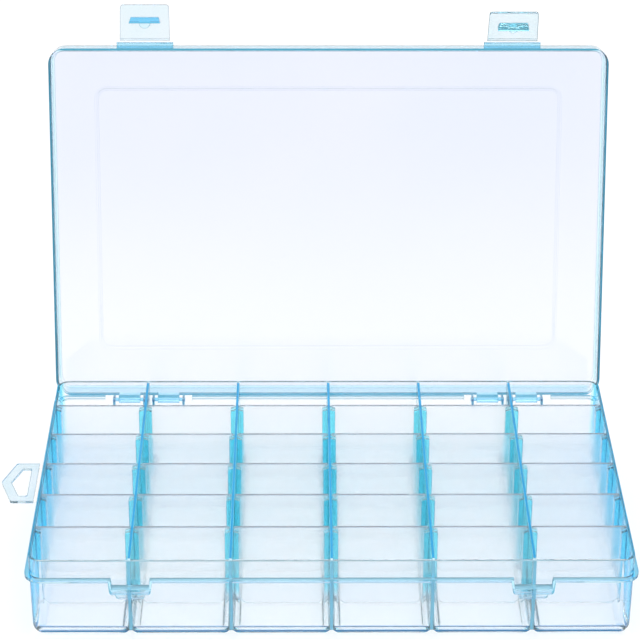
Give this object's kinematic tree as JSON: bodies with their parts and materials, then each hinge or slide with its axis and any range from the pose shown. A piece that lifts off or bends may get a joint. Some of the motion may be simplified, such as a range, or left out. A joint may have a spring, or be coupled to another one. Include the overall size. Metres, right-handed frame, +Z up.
{
  "type": "compartment storage box",
  "caption": "Shallow translucent storage tray with long compartments, lift-out divider plates, a hinged lid with two film-hinged latches and a side hang tab.",
  "frame": {"origin": "middle of the tray's flat underside", "axes": "+X to the right as the user faces the latches, +Y to the rear where the lid is hinged, +Z up"},
  "size_m": [0.2941, 0.2302, 0.224],
  "materials": {
    "tray_plastic": "clear pale blue",
    "lid_plastic": "clear, faintly blue",
    "divider_plastic": "clear",
    "latch_plastic": "clear"
  },
  "bodies": {
    "tray": {"tray": "tray_plastic", "hang_tab_film": "tray_plastic"},
    "lid": {"lid": "lid_plastic", "left_latch_film": "latch_plastic", "right_latch_film": "latch_plastic"},
    "left_latch": {"left_latch": "latch_plastic"},
    "right_latch": {"right_latch": "latch_plastic"},
    "hang_tab": {"hang_tab": "tray_plastic"},
    "divider_c1_r1": {"divider_c1_r1": "divider_plastic"},
    "divider_c1_r2": {"divider_c1_r2": "divider_plastic"},
    "divider_c1_r3": {"divider_c1_r3": "divider_plastic"},
    "divider_c1_r4": {"divider_c1_r4": "divider_plastic"},
    "divider_c1_r5": {"divider_c1_r5": "divider_plastic"},
    "divider_c2_r1": {"divider_c2_r1": "divider_plastic"},
    "divider_c2_r2": {"divider_c2_r2": "divider_plastic"},
    "divider_c2_r3": {"divider_c2_r3": "divider_plastic"},
    "divider_c2_r4": {"divider_c2_r4": "divider_plastic"},
    "divider_c2_r5": {"divider_c2_r5": "divider_plastic"},
    "divider_c3_r1": {"divider_c3_r1": "divider_plastic"},
    "divider_c3_r2": {"divider_c3_r2": "divider_plastic"},
    "divider_c3_r3": {"divider_c3_r3": "divider_plastic"},
    "divider_c3_r4": {"divider_c3_r4": "divider_plastic"},
    "divider_c3_r5": {"divider_c3_r5": "divider_plastic"},
    "divider_c4_r1": {"divider_c4_r1": "divider_plastic"},
    "divider_c4_r2": {"divider_c4_r2": "divider_plastic"},
    "divider_c4_r3": {"divider_c4_r3": "divider_plastic"},
    "divider_c4_r4": {"divider_c4_r4": "divider_plastic"},
    "divider_c4_r5": {"divider_c4_r5": "divider_plastic"},
    "divider_c5_r1": {"divider_c5_r1": "divider_plastic"},
    "divider_c5_r2": {"divider_c5_r2": "divider_plastic"},
    "divider_c5_r3": {"divider_c5_r3": "divider_plastic"},
    "divider_c5_r4": {"divider_c5_r4": "divider_plastic"},
    "divider_c5_r5": {"divider_c5_r5": "divider_plastic"},
    "divider_c6_r1": {"divider_c6_r1": "divider_plastic"},
    "divider_c6_r2": {"divider_c6_r2": "divider_plastic"},
    "divider_c6_r3": {"divider_c6_r3": "divider_plastic"},
    "divider_c6_r4": {"divider_c6_r4": "divider_plastic"},
    "divider_c6_r5": {"divider_c6_r5": "divider_plastic"}
  },
  "joints": [
    {"name": "lid_hinge", "type": "hinge", "parent": "tray", "child": "lid", "pos_m": [0, 0.0899, 0.0285], "axis": [-1, 0, 0], "range_deg": [-101.4, 0]},
    {"name": "left_latch_hinge", "type": "hinge", "parent": "lid", "child": "left_latch", "pos_m": [-0.0902, 0.12935, 0.20621], "axis": [-1, 0, 0], "range_deg": [-90, 60], "stiffness_Nm_per_rad": 0.002, "deforming": ["left_latch_film"]},
    {"name": "right_latch_hinge", "type": "hinge", "parent": "lid", "child": "right_latch", "pos_m": [0.0902, 0.12935, 0.20621], "axis": [-1, 0, 0], "range_deg": [-58, 92], "stiffness_Nm_per_rad": 0.002, "deforming": ["right_latch_film"]},
    {"name": "hang_tab_fold", "type": "hinge", "parent": "tray", "child": "hang_tab", "pos_m": [-0.13885, 0, 0.031], "axis": [0, 1, 0], "range_deg": [-85, 0], "stiffness_Nm_per_rad": 0.003, "deforming": ["hang_tab_film"]},
    {"name": "divider_c1_r1_lift", "type": "slide", "parent": "tray", "child": "divider_c1_r1", "axis": [0, 0, 1], "range_m": [0, 0.042]},
    {"name": "divider_c1_r2_lift", "type": "slide", "parent": "tray", "child": "divider_c1_r2", "axis": [0, 0, 1], "range_m": [0, 0.042]},
    {"name": "divider_c1_r3_lift", "type": "slide", "parent": "tray", "child": "divider_c1_r3", "axis": [0, 0, 1], "range_m": [0, 0.042]},
    {"name": "divider_c1_r4_lift", "type": "slide", "parent": "tray", "child": "divider_c1_r4", "axis": [0, 0, 1], "range_m": [0, 0.042]},
    {"name": "divider_c1_r5_lift", "type": "slide", "parent": "tray", "child": "divider_c1_r5", "axis": [0, 0, 1], "range_m": [0, 0.042]},
    {"name": "divider_c2_r1_lift", "type": "slide", "parent": "tray", "child": "divider_c2_r1", "axis": [0, 0, 1], "range_m": [0, 0.042]},
    {"name": "divider_c2_r2_lift", "type": "slide", "parent": "tray", "child": "divider_c2_r2", "axis": [0, 0, 1], "range_m": [0, 0.042]},
    {"name": "divider_c2_r3_lift", "type": "slide", "parent": "tray", "child": "divider_c2_r3", "axis": [0, 0, 1], "range_m": [0, 0.042]},
    {"name": "divider_c2_r4_lift", "type": "slide", "parent": "tray", "child": "divider_c2_r4", "axis": [0, 0, 1], "range_m": [0, 0.042]},
    {"name": "divider_c2_r5_lift", "type": "slide", "parent": "tray", "child": "divider_c2_r5", "axis": [0, 0, 1], "range_m": [0, 0.042]},
    {"name": "divider_c3_r1_lift", "type": "slide", "parent": "tray", "child": "divider_c3_r1", "axis": [0, 0, 1], "range_m": [0, 0.042]},
    {"name": "divider_c3_r2_lift", "type": "slide", "parent": "tray", "child": "divider_c3_r2", "axis": [0, 0, 1], "range_m": [0, 0.042]},
    {"name": "divider_c3_r3_lift", "type": "slide", "parent": "tray", "child": "divider_c3_r3", "axis": [0, 0, 1], "range_m": [0, 0.042]},
    {"name": "divider_c3_r4_lift", "type": "slide", "parent": "tray", "child": "divider_c3_r4", "axis": [0, 0, 1], "range_m": [0, 0.042]},
    {"name": "divider_c3_r5_lift", "type": "slide", "parent": "tray", "child": "divider_c3_r5", "axis": [0, 0, 1], "range_m": [0, 0.042]},
    {"name": "divider_c4_r1_lift", "type": "slide", "parent": "tray", "child": "divider_c4_r1", "axis": [0, 0, 1], "range_m": [0, 0.042]},
    {"name": "divider_c4_r2_lift", "type": "slide", "parent": "tray", "child": "divider_c4_r2", "axis": [0, 0, 1], "range_m": [0, 0.042]},
    {"name": "divider_c4_r3_lift", "type": "slide", "parent": "tray", "child": "divider_c4_r3", "axis": [0, 0, 1], "range_m": [0, 0.042]},
    {"name": "divider_c4_r4_lift", "type": "slide", "parent": "tray", "child": "divider_c4_r4", "axis": [0, 0, 1], "range_m": [0, 0.042]},
    {"name": "divider_c4_r5_lift", "type": "slide", "parent": "tray", "child": "divider_c4_r5", "axis": [0, 0, 1], "range_m": [0, 0.042]},
    {"name": "divider_c5_r1_lift", "type": "slide", "parent": "tray", "child": "divider_c5_r1", "axis": [0, 0, 1], "range_m": [0, 0.042]},
    {"name": "divider_c5_r2_lift", "type": "slide", "parent": "tray", "child": "divider_c5_r2", "axis": [0, 0, 1], "range_m": [0, 0.042]},
    {"name": "divider_c5_r3_lift", "type": "slide", "parent": "tray", "child": "divider_c5_r3", "axis": [0, 0, 1], "range_m": [0, 0.042]},
    {"name": "divider_c5_r4_lift", "type": "slide", "parent": "tray", "child": "divider_c5_r4", "axis": [0, 0, 1], "range_m": [0, 0.042]},
    {"name": "divider_c5_r5_lift", "type": "slide", "parent": "tray", "child": "divider_c5_r5", "axis": [0, 0, 1], "range_m": [0, 0.042]},
    {"name": "divider_c6_r1_lift", "type": "slide", "parent": "tray", "child": "divider_c6_r1", "axis": [0, 0, 1], "range_m": [0, 0.042]},
    {"name": "divider_c6_r2_lift", "type": "slide", "parent": "tray", "child": "divider_c6_r2", "axis": [0, 0, 1], "range_m": [0, 0.042]},
    {"name": "divider_c6_r3_lift", "type": "slide", "parent": "tray", "child": "divider_c6_r3", "axis": [0, 0, 1], "range_m": [0, 0.042]},
    {"name": "divider_c6_r4_lift", "type": "slide", "parent": "tray", "child": "divider_c6_r4", "axis": [0, 0, 1], "range_m": [0, 0.042]},
    {"name": "divider_c6_r5_lift", "type": "slide", "parent": "tray", "child": "divider_c6_r5", "axis": [0, 0, 1], "range_m": [0, 0.042]}
  ]
}
